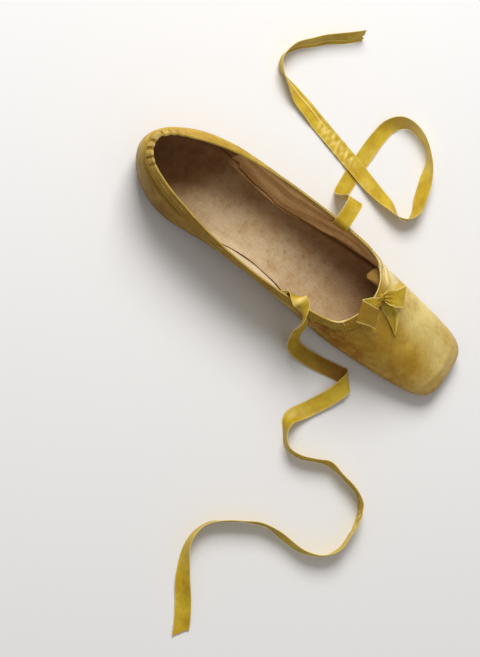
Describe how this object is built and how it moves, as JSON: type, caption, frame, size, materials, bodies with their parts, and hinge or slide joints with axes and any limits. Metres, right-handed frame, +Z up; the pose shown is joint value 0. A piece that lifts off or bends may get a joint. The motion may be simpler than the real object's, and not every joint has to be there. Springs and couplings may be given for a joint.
{
  "type": "square-toed ballet slipper",
  "caption": "Flat soft ballet slipper with a low open throat, soft square toe, thin straight sole, bound topline, small ribbon bow and loose ribbon ties.",
  "frame": {"origin": "on the floor under the middle of the slipper, measured without its two ribbon ties", "axes": "+X towards the toe, +Y towards the slipper's left side, +Z up"},
  "size_m": [0.2469, 0.3813, 0.0532],
  "materials": {
    "sole_leather": "worn matt leather",
    "sock_leather": "matt sock lining, soiled",
    "mustard_satin": "soft satin sheen, worn",
    "binding_tape": "fine ribbed tape",
    "ribbon_silk": "bright silk satin"
  },
  "bodies": {
    "root": {"sole": "sole_leather", "insole": "sock_leather", "upper": "mustard_satin", "topline_binding": "binding_tape", "bow_knot": "ribbon_silk", "bow_near_loop": "ribbon_silk", "bow_far_loop": "ribbon_silk", "bow_tail": "ribbon_silk", "bow_short_tail": "ribbon_silk", "tie_near": "ribbon_silk", "tie_far": "ribbon_silk"}
  },
  "joints": []
}
